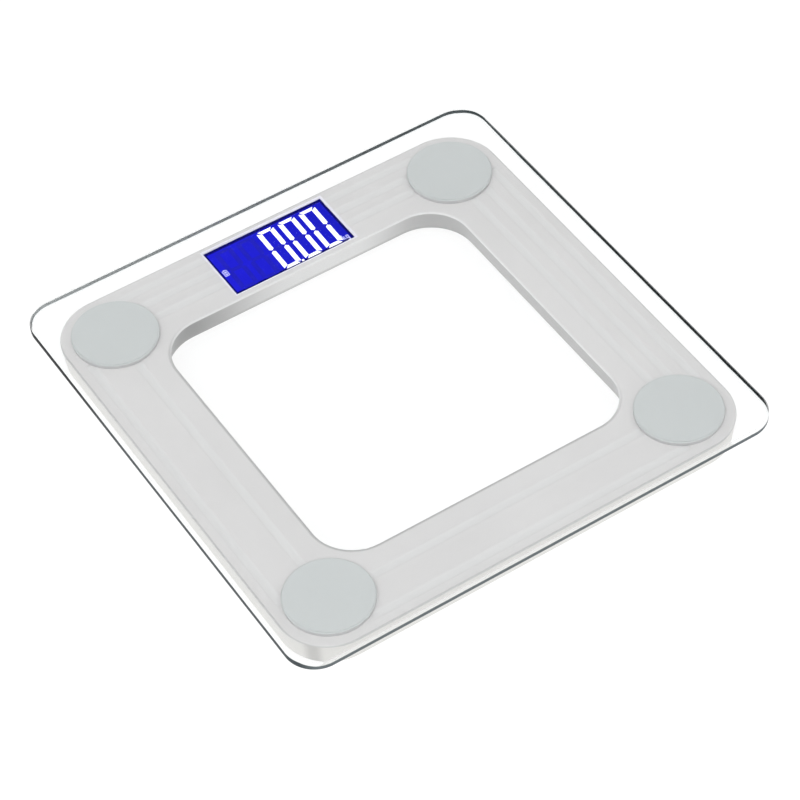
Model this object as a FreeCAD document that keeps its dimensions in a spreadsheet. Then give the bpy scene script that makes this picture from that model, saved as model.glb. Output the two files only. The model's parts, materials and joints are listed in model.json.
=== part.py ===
import FreeCAD, Part
import math
import os

import Sketcher

# A glass-topped digital platform scale. Lengths are in millimetres and angles in degrees.
# +X right, +Y towards the display edge, +Z up, origin on the floor under the middle of the platform.

V = FreeCAD.Vector
UP = V(0, 0, 1)

DIMENSIONS = {
    # glass platform
    "glass_half": 150.0,
    "glass_corner": 18.0,
    "glass_thickness": 5.0,
    "glass_edge_round": 1.0,
    # heights of the stack above the floor
    "frame_bottom": 2.6,
    "frame_top": 17.6,
    "disc_height": 2.4,
    "bond_height": 0.4,
    # ring frame, upper shell
    "frame_top_half": 141.5,
    "frame_bottom_half": 140.0,
    "frame_corner": 28.7,
    "opening_top_half": 94.9,
    "opening_bottom_half": 98.0,
    "opening_corner": 25.0,
    "shell_wall": 2.0,
    "top_wall": 2.0,
    "edge_round": 0.8,
    "foot_edge_round": 0.6,
    # flutes along the top of the frame
    "flute_first": 110.7,
    "flute_pitch": 11.2,
    "flute_depth": 0.35,
    "flute_radius": 12.2,
    "flute_reach": 100.0,
    # corners: discs, load cells and feet share these centres
    "corner_centre": 110.8,
    "disc_radius": 24.5,
    "bond_radius": 23.8,
    "disc_edge_round": 0.4,
    "disc_boss_radius": 6.0,
    "disc_screw_radius": 1.4,
    "disc_screw_reach": 2.6,
    # display
    "window_half_x": 39.0,
    "window_half_y": 18.85,
    "window_centre_y": 118.75,
    "window_chamfer": 0.6,
    "lcd_depth": 1.0,
    "lcd_half_x": 40.0,
    "lcd_half_y": 19.6,
    "lcd_thickness": 2.4,
    "lcd_clearance": 0.35,
    "holder_half_x": 42.5,
    "holder_half_y": 19.2,
    "holder_wall": 1.3,
    "backlight_height": 3.0,
    "backlight_half_x": 40.6,
    "backlight_front": 104.6,
    "backlight_gap": 0.3,
    "strip_half_x": 37.0,
    "strip_width": 2.4,
    "strip_gap": 0.5,
    # circuit board and what is on it
    "board_half_x": 50.0,
    "board_front": 99.6,
    "board_back": 136.4,
    "board_thickness": 1.6,
    "board_hole_x": 46.0,
    "board_hole_front": 108.4,
    "board_hole_back": 132.8,
    "blob_radius": 7.0,
    "blob_height": 1.6,
    "blob_x": -8.0,
    "board_middle": 118.4,
    "switch_x": 28.0,
    "switch_half": 3.0,
    "switch_height": 2.1,
    "switch_corner": 0.5,
    "switch_slack": 0.2,
    "plunger_radius": 1.6,
    "plunger_length": 1.5,
    "plunger_stand": 0.9,
    "press_travel": 0.4,
    "button_radius": 4.2,
    "button_flange_radius": 5.6,
    "button_flange_height": 1.0,
    "button_flange_gap": 0.2,
    "button_stem_radius": 2.0,
    "button_edge": 0.5,
    "button_recess": 0.3,
    "button_gap": 0.3,
    "plug_x": 37.0,
    "plug_back": 112.8,
    "plug_half_x": 3.2,
    "plug_half_y": 1.2,
    "plug_height": 3.9,
    # lower shell
    "lower_gap": 0.25,
    "lower_wall": 2.0,
    "foot_hole_radius": 21.6,
    "collar_wall": 1.5,
    "collar_height": 1.4,
    "screw_x": 66.0,
    "screw_y": 55.0,
    "screw_line": 118.0,
    "boss_radius": 3.2,
    "pillar_radius": 2.8,
    "pilot_radius": 1.1,
    "screw_hole_radius": 1.5,
    "head_radius": 2.6,
    "head_hole_radius": 2.9,
    "head_height": 1.1,
    "screw_length": 8.0,
    "board_screw_length": 6.2,
    "disc_screw_length": 3.5,
    "drive_half_length": 1.6,
    "drive_half_width": 0.35,
    "drive_depth": 0.7,
    # load cells and their seats
    "cell_half": 14.0,
    "cell_corner": 3.0,
    "cell_bottom": 7.6,
    "cell_thickness": 3.0,
    "cell_hole_radius": 2.05,
    "tongue_half": 5.0,
    "slot_width": 2.2,
    "slot_reach": 9.0,
    "neck_half": 3.4,
    "neck_length": 4.0,
    "seat_radius": 20.5,
    "seat_hole_radius": 10.5,
    "seat_grip": 1.0,
    "seat_gap": 0.2,
    "rib_wall": 1.2,
    "rib_height": 2.4,
    "gauge_half_x": 3.0,
    "gauge_half_y": 2.2,
    "gauge_corner": 1.2,
    "gauge_height": 0.7,
    # feet
    "foot_radius": 21.0,
    "foot_rim_bottom": 1.0,
    "foot_recess": 19.6,
    "foot_floor": 1.4,
    "foot_rim_wall": 1.6,
    "foot_rim_top": 5.6,
    "hub_radius": 4.5,
    "peg_radius": 1.9,
    "peg_length": 2.6,
    "pad_radius": 19.4,
    "pad_thickness": 2.0,
    "groove_first": 9.0,
    "groove_pitch": 4.6,
    "groove_width": 1.4,
    "groove_depth": 0.5,
    "pad_chamfer": 0.4,
    # battery bay, door and cells
    "bay_centre_y": -116.0,
    "bay_half_y": 13.0,
    "bay_left": 26.1,
    "bay_right": 25.5,
    "bay_wall": 1.5,
    "bay_top": 15.2,
    "hinge_x": -24.8,
    "hinge_level": 3.6,
    "knuckle_radius": 1.0,
    "pin_radius": 0.6,
    "pin_clearance": 0.06,
    "pin_reach": 1.3,
    "door_thickness": 1.6,
    "door_gap": 0.3,
    "catch_half": 2.5,
    "catch_thickness": 0.8,
    "catch_inset": 0.5,
    "catch_height": 1.8,
    "ridge_pitch": 2.0,
    "ridge_width": 1.0,
    "ridge_inset": 3.0,
    "ridge_half": 6.0,
    "ridge_depth": 0.4,
    "grip_offset": 1.0,
    "grip_radius": 6.5,
    "grip_depth": 0.9,
    "aaa_radius": 5.25,
    "aaa_length": 44.5,
    "aaa_nub_radius": 1.9,
    "aaa_nub_length": 0.9,
    "aaa_edge": 0.5,
    "aaa_level": 10.0,
    "aaa_spacing": 11.6,
    "contact_thickness": 0.4,
    "contact_half": 4.4,
    "spring_half_height": 4.2,
    "spring_half_width": 2.5,
    "spring_nose": 1.0,
    "spring_thickness": 0.3,
    "spring_bend": 0.6,
    # wires
    "lead_radius": 0.5,
    "lead_pitch": 1.05,
    "lead_level": 8.05,
    "bend_centre": 69.4,
    "battery_lane": 32.2,
    "cell_lane": 34.8,
    "back_lead_start": 109.0,
    "back_lead_bend": 75.0,
    "back_lead_rise": 60.0,
    "back_lead_radius": 18.0,
    "lead_gap": 0.1,
}

CORNERS = {
    "front_left": (-1, -1),
    "front_right": (1, -1),
    "back_right": (1, 1),
    "back_left": (-1, 1),
}
ALL_CORNERS = [
    (f"{x} * dims.corner_centre", f"{y} * dims.corner_centre") for x, y in CORNERS.values()
]

doc = FreeCAD.newDocument("platform_scale")
sheet = doc.addObject("Spreadsheet::Sheet", "dims")
for row, (alias, number) in enumerate(DIMENSIONS.items(), start=1):
    sheet.set(f"A{row}", alias)
    sheet.set(f"B{row}", str(number))
    sheet.setAlias(f"B{row}", alias)
doc.recompute()

parts = []


# ---------------------------------------------------------------- helpers


def value(expression):
    """The number that an expression of the sheet's cells has now."""
    return float(sheet.evalExpression(expression))


def new_body(label, many=False):
    """A body that is one sub-part. many lets it hold several separate solids."""
    body = doc.addObject("PartDesign::Body", label)
    body.AllowCompound = many
    parts.append(body)
    return body


def place(part, x="0", y="0", z="0", turn=0.0):
    """Put a sub-part at a point given by expressions, turned about Z by degrees."""
    part.Placement = FreeCAD.Placement(V(), FreeCAD.Rotation(UP, turn))
    for axis, expression in zip("xyz", (x, y, z)):
        part.setExpression(f"Placement.Base.{axis}", expression)


def new_sketch(body, name, level="0", plane="XY_Plane"):
    """A sketch on one of the body's own origin planes, raised to a level."""
    sketch = body.newObject("Sketcher::SketchObject", name)
    support = next(p for p in body.Origin.OriginFeatures if p.Role == plane)
    sketch.AttachmentSupport = (support, [""])
    sketch.MapMode = "FlatFace"
    sketch.setExpression(".AttachmentOffset.Base.z", level)
    return sketch


def bind(sketch, kind, where, expression):
    """Add a dimension to a sketch and drive it from the sheet."""
    number = value(expression)
    index = sketch.addConstraint(Sketcher.Constraint(kind, *where, number))
    sketch.setExpression(f"Constraints[{index}]", expression)


def bind_point(sketch, geometry, end, x, y):
    """Hold one point of a sketch at expressions for its x and y."""
    for kind, axis, expression in (("DistanceX", -2, x), ("DistanceY", -1, y)):
        if expression == "0":
            sketch.addConstraint(Sketcher.Constraint("PointOnObject", geometry, end, axis))
        else:
            bind(sketch, kind, (-1, 1, geometry, end), expression)


def add_circle(sketch, x, y, radius):
    centre = V(value(x), value(y), 0)
    index = sketch.addGeometry(Part.Circle(centre, UP, value(radius)), False)
    bind(sketch, "Radius", (index,), radius)
    bind_point(sketch, index, 3, x, y)


def add_polygon(sketch, points):
    """A closed outline through points that are pairs of expressions."""
    places = [V(value(x), value(y), 0) for x, y in points]
    lines = [Part.LineSegment(a, b) for a, b in zip(places, places[1:] + places[:1])]
    ids = sketch.addGeometry(lines, False)
    for index, following in zip(ids, ids[1:] + ids[:1]):
        sketch.addConstraint(Sketcher.Constraint("Coincident", index, 2, following, 1))
    for index, (x, y) in zip(ids, points):
        bind_point(sketch, index, 1, x, y)


def add_rectangle(sketch, x_low, x_high, y_low, y_high):
    add_polygon(sketch, [(x_low, y_low), (x_high, y_low), (x_high, y_high), (x_low, y_high)])


def add_rounded(sketch, half_x, half_y, radius, x="0", y="0"):
    """A rectangle with rounded corners, about a centre."""
    across, along, corner = value(half_x), value(half_y), value(radius)
    middle = V(value(x), value(y), 0)
    geometry = []
    for step in range(4):
        turn = step * math.pi / 2
        reach = (across, along) if step % 2 == 0 else (along, across)
        spin = FreeCAD.Rotation(UP, step * 90)
        centre = middle + spin.multVec(V(reach[0] - corner, reach[1] - corner, 0))
        start = middle + spin.multVec(V(reach[0] - corner, reach[1], 0))
        end = middle + spin.multVec(V(corner - reach[0], reach[1], 0))
        circle = Part.Circle(centre, UP, corner)
        geometry.append(Part.ArcOfCircle(circle, turn, turn + math.pi / 2))
        geometry.append(Part.LineSegment(start, end))
    ids = sketch.addGeometry(geometry, False)
    for index, following in zip(ids, ids[1:] + ids[:1]):
        sketch.addConstraint(Sketcher.Constraint("Tangent", index, 2, following, 1))
    for index, kind in zip(ids[1::2], ("Horizontal", "Vertical") * 2):
        sketch.addConstraint(Sketcher.Constraint(kind, index))
    for index in ids[2::2]:
        sketch.addConstraint(Sketcher.Constraint("Equal", ids[0], index))
    bind(sketch, "Radius", (ids[0],), radius)
    bind(sketch, "DistanceY", (-1, 1, ids[1], 1), f"({y}) + ({half_y})")
    bind(sketch, "DistanceX", (-1, 1, ids[3], 1), f"({x}) - ({half_x})")
    bind(sketch, "DistanceY", (-1, 1, ids[5], 1), f"({y}) - ({half_y})")
    bind(sketch, "DistanceX", (-1, 1, ids[7], 1), f"({x}) + ({half_x})")


def extrude(kind, body, sketch, length, reverse=False, taper=None, both_ways=False):
    """A Pad or a Pocket. A Pad rises from its sketch and a Pocket sinks, unless reversed."""
    before = body.Shape.Volume if body.Tip else 0.0
    feature = body.newObject(f"PartDesign::{kind}", f"{sketch.Label}_{kind.lower()}")
    feature.Profile = sketch
    feature.setExpression("Length", length)
    feature.Reversed = reverse
    feature.Midplane = both_ways
    if taper:
        feature.setExpression("TaperAngle", taper)
    sketch.Visibility = False
    doc.recompute()
    gained = body.Shape.Volume - before
    wrong = gained <= 0 if kind == "Pad" else gained >= 0
    if wrong:
        raise SystemExit(f"{body.Label}: {feature.Label} changed the volume by {gained:.2f}")
    return feature


def pad(body, sketch, length, **how):
    return extrude("Pad", body, sketch, length, **how)


def pocket(body, sketch, length, **how):
    return extrude("Pocket", body, sketch, length, **how)


def turned(label, outline):
    """A body turned about Z from a half outline of radius and height expressions."""
    body = new_body(label)
    sketch = new_sketch(body, f"{label}_outline", plane="XZ_Plane")
    add_polygon(sketch, outline)
    feature = body.newObject("PartDesign::Revolution", f"{label}_turn")
    feature.Profile = sketch
    feature.ReferenceAxis = (sketch, ["V_Axis"])
    feature.Angle = 360.0
    doc.recompute()
    return body


def dress(kind, body, name, size, chosen):
    """Fillet or chamfer the edges of the body's tip that chosen() picks by their box."""
    base = body.Tip
    edges = [f"Edge{n}" for n, edge in enumerate(base.Shape.Edges, 1) if chosen(edge.BoundBox)]
    feature = body.newObject(f"PartDesign::{kind}", name)
    feature.Base = (base, edges)
    feature.setExpression("Radius" if kind == "Fillet" else "Size", size)
    doc.recompute()
    return feature


def level_edges(level, least_reach, most_reach):
    """A test for edges that lie flat at a level, with a reach from the centre in a range."""
    height = value(level)

    def chosen(box):
        reach = max(abs(box.XMin), abs(box.XMax), abs(box.YMin), abs(box.YMax))
        flat = abs(box.ZMin - height) < 0.01 and abs(box.ZMax - height) < 0.01
        return flat and least_reach < reach < most_reach

    return chosen


def add_primitive(kind, name, sizes, position):
    """A Part primitive whose sizes and position are expressions."""
    shape = doc.addObject(f"Part::{kind}", name)
    for prop, expression in sizes.items():
        shape.setExpression(prop, expression)
    for axis, expression in zip("xyz", position):
        shape.setExpression(f"Placement.Base.{axis}", expression)
    return shape


def add_box(name, low, high):
    """A Part::Box between two corners given as expressions."""
    sizes = {}
    for prop, a, b in zip(("Length", "Width", "Height"), low, high):
        sizes[prop] = f"({b}) - ({a})"
    return add_primitive("Box", name, sizes, low)


def add_group(label, members):
    """Separate solids that share one node."""
    group = doc.addObject("Part::Compound", label)
    group.Links = members
    parts.append(group)
    return group


# Left edge, front edge, length and width of each small part on the board, half as tall as wide.
SMALL_PARTS = (
    (-26.0, 112.0, 3.2, 1.6),
    (-26.0, 117.0, 2.0, 1.2),
    (-26.0, 122.0, 3.2, 1.6),
    (8.0, 112.0, 2.0, 1.2),
    (8.0, 117.0, 2.0, 1.2),
    (8.0, 124.0, 4.6, 2.4),
)
# The chip's cover from crown to rim, as shares of its radius and height.
CHIP_DOME = ((0.5, 0.86), (0.82, 0.5))

# Expressions that several sub-parts share.
FRAME_HEIGHT = "(dims.frame_top - dims.frame_bottom)"
INNER_TOP = "(dims.frame_top - dims.top_wall)"
LOWER_TOP = "(dims.frame_bottom + dims.lower_wall)"
LCD_TOP = "(dims.frame_top - dims.lcd_depth)"
LCD_BOTTOM = f"({LCD_TOP} - dims.lcd_thickness)"
BOARD_TOP = f"({LCD_BOTTOM} - dims.backlight_height)"
BOARD_BOTTOM = f"({BOARD_TOP} - dims.board_thickness)"
GLASS_BOTTOM = "(dims.frame_top + dims.disc_height + dims.bond_height)"
CELL_TOP = "(dims.cell_bottom + dims.cell_thickness)"
SEAT_BOTTOM = f"({CELL_TOP} - dims.seat_grip)"
OUTER_DRAFT = f"atan((dims.frame_top_half - dims.frame_bottom_half) / {FRAME_HEIGHT})"
OPENING_DRAFT = f"atan((dims.opening_bottom_half - dims.opening_top_half) / {FRAME_HEIGHT})"
CAVITY_HEIGHT = f"({FRAME_HEIGHT} - dims.top_wall)"
OUTER_FLARE = f"((dims.frame_top_half - dims.frame_bottom_half) * {CAVITY_HEIGHT} / {FRAME_HEIGHT})"
INNER_FLARE = f"((dims.opening_bottom_half - dims.opening_top_half) * {CAVITY_HEIGHT} / {FRAME_HEIGHT})"
CAVITY_OUTER = "(dims.frame_bottom_half - dims.shell_wall)"
CAVITY_INNER = "(dims.opening_bottom_half + dims.shell_wall)"
CAVITY_OUTER_CORNER = "(dims.frame_corner - dims.shell_wall)"
CAVITY_INNER_CORNER = (
    "(dims.opening_corner + dims.opening_bottom_half - dims.opening_top_half + dims.shell_wall)"
)
SHELL_SCREWS = [
    (f"{x} * dims.screw_x", f"{y} * dims.screw_line") for x, y in CORNERS.values()
] + [(f"{x} * dims.screw_line", f"{y} * dims.screw_y") for x, y in CORNERS.values()]
BATTERY_LINES = {
    "front": "(dims.bay_centre_y - dims.aaa_spacing / 2)",
    "back": "(dims.bay_centre_y + dims.aaa_spacing / 2)",
}
BOARD_SCREWS = [
    (f"{side} * dims.board_hole_x", line)
    for side in (-1, 1)
    for line in ("dims.board_hole_front", "dims.board_hole_back")
]


# ---------------------------------------------------------------- platform


def make_glass():
    """Toughened glass plate with rounded corners, a flat polished side and small rounded arrises."""
    body = new_body("glass_platform")
    outline = new_sketch(body, "glass_outline", GLASS_BOTTOM)
    add_rounded(outline, "dims.glass_half", "dims.glass_half", "dims.glass_corner")
    pad(body, outline, "dims.glass_thickness")
    least = value("dims.glass_half") - value("dims.glass_corner")
    rim = 1 + value("dims.glass_half")
    on_bottom = level_edges(GLASS_BOTTOM, least, rim)
    on_top = level_edges(f"{GLASS_BOTTOM} + dims.glass_thickness", least, rim)

    def on_rim(box):
        return on_bottom(box) or on_top(box)

    dress("Fillet", body, "glass_edges", "dims.glass_edge_round", on_rim)


def make_discs():
    """Four discs that carry the glass, each with a boss through the frame's top wall."""
    for name, (x, y) in CORNERS.items():
        disc = turned(
            f"mount_disc_{name}",
            [
                ("dims.disc_screw_radius", "-dims.top_wall"),
                ("dims.disc_boss_radius", "-dims.top_wall"),
                ("dims.disc_boss_radius", "0"),
                ("dims.disc_radius", "0"),
                ("dims.disc_radius", "dims.disc_height"),
                ("0", "dims.disc_height"),
                ("0", "dims.disc_screw_reach - dims.top_wall"),
                ("dims.disc_screw_radius", "dims.disc_screw_reach - dims.top_wall"),
            ],
        )
        reach = (value("dims.bond_radius"), 1 + value("dims.disc_radius"))
        rim = level_edges("dims.disc_height", *reach)
        dress("Fillet", disc, f"disc_edge_{name}", "dims.disc_edge_round", rim)
        place(disc, f"{x} * dims.corner_centre", f"{y} * dims.corner_centre", "dims.frame_top")
        bond = add_primitive(
            "Cylinder",
            f"bond_pad_{name}",
            {"Radius": "dims.bond_radius", "Height": "dims.bond_height"},
            (
                f"{x} * dims.corner_centre",
                f"{y} * dims.corner_centre",
                "dims.frame_top + dims.disc_height",
            ),
        )
        parts.append(bond)


# ---------------------------------------------------------------- shells


def cut_flutes(body):
    """Three shallow flutes along each side of the frame's top."""
    for plane in ("XZ_Plane", "YZ_Plane"):
        sketch = new_sketch(body, f"flutes_{plane[:2].lower()}", plane=plane)
        for side in (-1, 1):
            for step in range(3):
                across = f"{side} * (dims.flute_first + {step} * dims.flute_pitch)"
                level = "dims.frame_top - dims.flute_depth + dims.flute_radius"
                add_circle(sketch, across, level, "dims.flute_radius")
        pocket(body, sketch, "2 * dims.flute_reach", both_ways=True)


def hollow_out(body):
    """The space inside the ring, open below, with walls of even thickness."""
    sections = []
    for name, level, flare, shrink in (
        ("cavity_low", "dims.frame_bottom", "0", "0"),
        ("cavity_high", INNER_TOP, OUTER_FLARE, INNER_FLARE),
    ):
        sketch = new_sketch(body, name, level)
        outer, inner = f"{CAVITY_OUTER} + {flare}", f"{CAVITY_INNER} - {shrink}"
        add_rounded(sketch, outer, outer, f"{CAVITY_OUTER_CORNER} + {flare}")
        add_rounded(sketch, inner, inner, f"{CAVITY_INNER_CORNER} - {shrink}")
        sections.append(sketch)
    before = body.Shape.Volume
    loft = body.newObject("PartDesign::SubtractiveLoft", "cavity")
    loft.Profile = sections[0]
    loft.Sections = sections[1:]
    loft.Ruled = True
    doc.recompute()
    print(f"upper_shell: hollowing removed {before - body.Shape.Volume:.0f} mm3")


def make_upper_shell():
    """Moulded ring cover: drafted walls, flutes, display window, bosses and seat rings."""
    body = new_body("upper_shell")
    outline = new_sketch(body, "frame_outline", "dims.frame_bottom")
    add_rounded(outline, "dims.frame_bottom_half", "dims.frame_bottom_half", "dims.frame_corner")
    pad(body, outline, FRAME_HEIGHT, taper=OUTER_DRAFT)
    opening = new_sketch(body, "frame_opening", "dims.frame_top")
    add_rounded(opening, "dims.opening_top_half", "dims.opening_top_half", "dims.opening_corner")
    pocket(body, opening, FRAME_HEIGHT, taper=OPENING_DRAFT)
    everywhere = (0, 1 + value("dims.frame_top_half"))
    top = level_edges("dims.frame_top", *everywhere)
    dress("Fillet", body, "top_edges", "dims.edge_round", top)
    bottom = level_edges("dims.frame_bottom", *everywhere)
    dress("Fillet", body, "bottom_edges", "dims.foot_edge_round", bottom)

    hollow_out(body)

    cut_flutes(body)

    window = new_sketch(body, "window", "dims.frame_top")
    x_edge, y_edge = "dims.window_half_x", "dims.window_half_y"
    middle = "dims.window_centre_y"
    add_rectangle(window, f"-{x_edge}", x_edge, f"{middle} - {y_edge}", f"{middle} + {y_edge}")
    pocket(body, window, "dims.top_wall + dims.edge_round")
    bevel = new_sketch(body, "window_bevel", "dims.frame_top")
    x_edge = "(dims.window_half_x + dims.window_chamfer)"
    y_edge = "(dims.window_half_y + dims.window_chamfer)"
    add_rectangle(bevel, f"-{x_edge}", x_edge, f"{middle} - {y_edge}", f"{middle} + {y_edge}")
    pocket(body, bevel, "dims.window_chamfer", taper="-45")

    recess = new_sketch(body, "lcd_recess", LCD_TOP)
    x_edge = "(dims.lcd_half_x + dims.lcd_clearance)"
    y_edge = "(dims.lcd_half_y + dims.lcd_clearance)"
    add_rectangle(recess, f"-{x_edge}", x_edge, f"{middle} - {y_edge}", f"{middle} + {y_edge}")
    pocket(body, recess, "dims.top_wall - dims.lcd_depth")

    rings = new_sketch(body, "seat_rings", INNER_TOP)
    for x, y in ALL_CORNERS:
        add_circle(rings, x, y, "dims.seat_radius + dims.seat_gap")
        add_circle(rings, x, y, "dims.seat_radius + dims.seat_gap + dims.rib_wall")
    pad(body, rings, "dims.rib_height", reverse=True)

    bosses = new_sketch(body, "shell_bosses", INNER_TOP)
    for x, y in SHELL_SCREWS:
        add_circle(bosses, x, y, "dims.boss_radius")
        add_circle(bosses, x, y, "dims.pilot_radius")
    pad(body, bosses, f"{INNER_TOP} - {LOWER_TOP}", reverse=True)

    pillars = new_sketch(body, "board_bosses", INNER_TOP)
    for x, y in BOARD_SCREWS:
        add_circle(pillars, x, y, "dims.pillar_radius")
        add_circle(pillars, x, y, "dims.pilot_radius")
    pad(body, pillars, f"{INNER_TOP} - {BOARD_TOP}", reverse=True)

    sockets = new_sketch(body, "disc_holes", "dims.frame_top")
    for x, y in ALL_CORNERS:
        add_circle(sockets, x, y, "dims.disc_boss_radius")
    pocket(body, sockets, "dims.top_wall")


def make_lower_shell():
    """Bottom cover: foot holes with collars, battery bay, button hole and screw holes."""
    body = new_body("lower_shell")
    plate = new_sketch(body, "plate", "dims.frame_bottom")
    outer, inner = f"({CAVITY_OUTER} - dims.lower_gap)", f"({CAVITY_INNER} + dims.lower_gap)"
    add_rounded(plate, outer, outer, f"{CAVITY_OUTER_CORNER} - dims.lower_gap")
    add_rounded(plate, inner, inner, f"{CAVITY_INNER_CORNER} + dims.lower_gap")
    pad(body, plate, "dims.lower_wall")

    collars = new_sketch(body, "collars", LOWER_TOP)
    for x, y in ALL_CORNERS:
        add_circle(collars, x, y, "dims.foot_hole_radius + dims.collar_wall")
    pad(body, collars, "dims.collar_height")
    holes = new_sketch(body, "foot_holes", f"{LOWER_TOP} + dims.collar_height")
    for x, y in ALL_CORNERS:
        add_circle(holes, x, y, "dims.foot_hole_radius")
    pocket(body, holes, "dims.lower_wall + dims.collar_height")

    middle = "dims.bay_centre_y"
    front, back = f"({middle} - dims.bay_half_y)", f"({middle} + dims.bay_half_y)"
    walls = new_sketch(body, "bay_walls", LOWER_TOP)
    add_rectangle(
        walls,
        "-dims.bay_left - dims.bay_wall",
        "dims.bay_right + dims.bay_wall",
        f"{front} - dims.bay_wall",
        f"{back} + dims.bay_wall",
    )
    pad(body, walls, f"dims.bay_top - {LOWER_TOP}")
    bay = new_sketch(body, "bay_opening", "dims.bay_top")
    add_rectangle(bay, "-dims.bay_left", "dims.bay_right", front, back)
    pocket(body, bay, "dims.bay_top - dims.frame_bottom")
    pins = new_sketch(body, "hinge_holes", f"-({middle})", plane="XZ_Plane")
    add_circle(pins, "dims.hinge_x", "dims.hinge_level", "dims.pin_radius + dims.pin_clearance")
    pocket(body, pins, "2 * (dims.bay_half_y + dims.bay_wall)", both_ways=True)
    grip = new_sketch(body, "finger_grip", "dims.frame_bottom")
    add_circle(grip, "dims.bay_right + dims.grip_offset", middle, "dims.grip_radius")
    pocket(body, grip, "dims.grip_depth", reverse=True)

    button = new_sketch(body, "button_hole", LOWER_TOP)
    add_circle(button, "dims.switch_x", "dims.board_middle", "dims.button_radius + dims.button_gap")
    pocket(body, button, "dims.lower_wall")
    screws = new_sketch(body, "screw_holes", LOWER_TOP)
    heads = new_sketch(body, "head_holes", "dims.frame_bottom")
    for x, y in SHELL_SCREWS:
        add_circle(screws, x, y, "dims.screw_hole_radius")
        add_circle(heads, x, y, "dims.head_hole_radius")
    pocket(body, screws, "dims.lower_wall")
    pocket(body, heads, "dims.head_height", reverse=True)


def make_screws(label, centres, head_level, length):
    """Cross-head screws with their heads down, driven upwards from a level."""
    body = new_body(label, many=True)
    head_height = "dims.head_height"
    heads = new_sketch(body, f"{label}_heads", head_level)
    shanks = new_sketch(body, f"{label}_shanks", f"{head_level} + {head_height}")
    cross = new_sketch(body, f"{label}_cross", head_level)
    slot = new_sketch(body, f"{label}_slot", head_level)
    long_way, thin_way = "dims.drive_half_length", "dims.drive_half_width"
    for x, y in centres:
        add_circle(heads, x, y, "dims.head_radius")
        add_circle(shanks, x, y, "dims.pilot_radius")
        for sketch, across, along in ((cross, long_way, thin_way), (slot, thin_way, long_way)):
            add_rectangle(
                sketch,
                f"{x} - {across}",
                f"{x} + {across}",
                f"{y} - {along}",
                f"{y} + {along}",
            )
    pad(body, heads, head_height)
    pad(body, shanks, f"{length} - {head_height}")
    pocket(body, cross, "dims.drive_depth", reverse=True)
    pocket(body, slot, "dims.drive_depth", reverse=True)


# ---------------------------------------------------------------- load cells and feet


def make_load_cell(name, x, y, turn):
    """Stamped steel half-bridge cell: an outer frame and a tongue that carries the foot."""
    body = new_body(f"load_cell_{name}")
    plate = new_sketch(body, f"cell_plate_{name}")
    add_rounded(plate, "dims.cell_half", "dims.cell_half", "dims.cell_corner")
    add_circle(plate, "0", "0", "dims.cell_hole_radius")
    pad(body, plate, "dims.cell_thickness")
    slots = new_sketch(body, f"cell_slots_{name}", "dims.cell_thickness")
    wide = "(dims.tongue_half + dims.slot_width)"
    low = "(-dims.tongue_half - dims.slot_width)"
    neck = "(dims.slot_reach - dims.neck_length)"
    add_polygon(
        slots,
        [
            (f"-{wide}", low),
            (wide, low),
            (wide, "dims.slot_reach"),
            ("dims.neck_half", "dims.slot_reach"),
            ("dims.neck_half", neck),
            ("dims.tongue_half", neck),
            ("dims.tongue_half", "-dims.tongue_half"),
            ("-dims.tongue_half", "-dims.tongue_half"),
            ("-dims.tongue_half", neck),
            ("-dims.neck_half", neck),
            ("-dims.neck_half", "dims.slot_reach"),
            (f"-{wide}", "dims.slot_reach"),
        ],
    )
    pocket(body, slots, "dims.cell_thickness")
    place(body, x, y, "dims.cell_bottom", turn)


def make_gauge(name, x, y, turn):
    """White silicone over the strain gauges, on the neck of the cell."""
    body = new_body(f"gauge_cover_{name}")
    patch = new_sketch(body, f"gauge_patch_{name}")
    middle = "(dims.slot_reach - dims.neck_length / 2)"
    add_rounded(patch, "dims.gauge_half_x", "dims.gauge_half_y", "dims.gauge_corner", "0", middle)
    pad(body, patch, "dims.gauge_height")
    place(body, x, y, CELL_TOP, turn)


def make_seat(name, x, y, turn):
    """Moulded seat that grips the outer frame of a load cell under the frame's top wall."""
    body = new_body(f"cell_seat_{name}")
    ring = new_sketch(body, f"seat_ring_{name}")
    add_circle(ring, "0", "0", "dims.seat_radius")
    add_circle(ring, "0", "0", "dims.seat_hole_radius")
    height = f"{INNER_TOP} - {SEAT_BOTTOM}"
    pad(body, ring, height)
    grip = new_sketch(body, f"seat_grip_{name}")
    half = "(dims.cell_half + dims.seat_gap / 2)"
    add_rounded(grip, half, half, "dims.cell_corner")
    pocket(body, grip, "dims.seat_grip", reverse=True)
    place(body, x, y, SEAT_BOTTOM, turn)


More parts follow.
